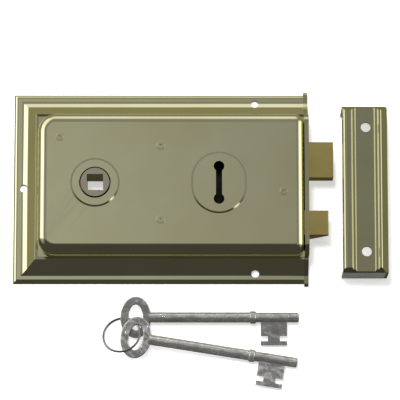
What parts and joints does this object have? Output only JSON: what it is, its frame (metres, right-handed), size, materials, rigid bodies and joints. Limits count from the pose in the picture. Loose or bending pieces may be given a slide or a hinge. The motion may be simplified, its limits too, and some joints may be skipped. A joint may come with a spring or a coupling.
{
  "type": "rim sash lock",
  "caption": "Surface-mounted moulded case with square-spindle latch, key-thrown deadbolt and levers, separate box keep, and keys on a wire ring.",
  "frame": {"origin": "middle of the case's back face, where it meets the door", "axes": "+X towards the bolts and keep, +Y towards the deadbolt's side, +Z out of the face; the lock lies on its back"},
  "size_m": [0.1898, 0.1529, 0.021],
  "materials": {
    "cover_brass": "polished, lacquered",
    "forend_brass": "polished",
    "follower_brass": "turned",
    "bolt_brass": "satin",
    "keep_brass": "polished, lacquered",
    "keep_end_brass": "satin",
    "lever_brass": "stamped",
    "plate_steel": "rolled",
    "tail_steel": "stamped",
    "post_brass": "turned, riveted over and polished",
    "rivet_steel": "turned",
    "spring_steel": "rolled strip",
    "key_nickel": "nickel plated",
    "ring_steel": "bright wire"
  },
  "bodies": {
    "case": {"case_cover": "cover_brass", "forend_plate": "forend_brass", "back_plate": "plate_steel", "rear_pillar": "post_brass", "lever_pivot_post": "post_brass", "lower_guide_post": "post_brass", "front_guide_post": "post_brass", "lever_spacer": "post_brass", "lever_1_spring": "spring_steel", "lever_2_spring": "spring_steel", "latch_spring": "spring_steel"},
    "follower": {"follower": "follower_brass"},
    "latch": {"latch_head": "bolt_brass", "latch_tail": "tail_steel", "latch_rivets": "rivet_steel"},
    "deadbolt": {"deadbolt_head": "bolt_brass", "deadbolt_tail": "tail_steel", "deadbolt_rivets": "rivet_steel", "bolt_stump": "rivet_steel"},
    "lever_1": {"lever_1": "lever_brass"},
    "lever_2": {"lever_2": "lever_brass"},
    "keep": {"keep_front": "keep_brass", "keep_end_plates": "keep_end_brass"},
    "key_ring": {"key_ring": "ring_steel"},
    "key_1": {"key_1": "key_nickel"},
    "key_2": {"key_2": "key_nickel"}
  },
  "joints": [
    {"name": "follower_turn", "type": "hinge", "parent": "case", "child": "follower", "pos_m": [-0.0331, 0, 0.009], "axis": [0, 0, 1], "range_deg": [-34.45, 0]},
    {"name": "latch_slide", "type": "slide", "parent": "case", "child": "latch", "axis": [1, 0, 0], "range_m": [-0.0103, 0], "deforming": ["latch_spring"]},
    {"name": "deadbolt_slide", "type": "slide", "parent": "case", "child": "deadbolt", "axis": [1, 0, 0], "range_m": [-0.0125, 0]},
    {"name": "lever_1_lift", "type": "hinge", "parent": "case", "child": "lever_1", "pos_m": [0, 0.019, 0.0094], "axis": [0, 0, 1], "range_deg": [0, 3.52], "deforming": ["lever_1_spring"]},
    {"name": "lever_2_lift", "type": "hinge", "parent": "case", "child": "lever_2", "pos_m": [0, 0.019, 0.0114], "axis": [0, 0, 1], "range_deg": [0, 3.52], "deforming": ["lever_2_spring"]},
    {"name": "keep_approach", "type": "slide", "parent": "case", "child": "keep", "axis": [1, 0, 0], "range_m": [-0.013, 0]},
    {"name": "keys_aside", "type": "slide", "parent": "case", "child": "key_ring", "axis": [0, 1, 0], "range_m": [-0.04, 0]},
    {"name": "key_1_swing", "type": "hinge", "parent": "key_ring", "child": "key_1", "pos_m": [-0.0167, -0.0667, 0.004], "axis": [0, 0, 1], "range_deg": [0, 2]},
    {"name": "key_2_swing", "type": "hinge", "parent": "key_ring", "child": "key_2", "pos_m": [-0.0167, -0.0767, 0.0058], "axis": [0, 0, 1], "range_deg": [-8, 0]}
  ],
  "couplings": [
    {"joint": "follower_turn", "follows": "latch_slide", "rad_per_m": 58.24},
    {"joint": "lever_1_lift", "follows": "deadbolt_slide", "rad_per_m": -4.8869},
    {"joint": "lever_2_lift", "follows": "deadbolt_slide", "rad_per_m": -4.8869}
  ]
}
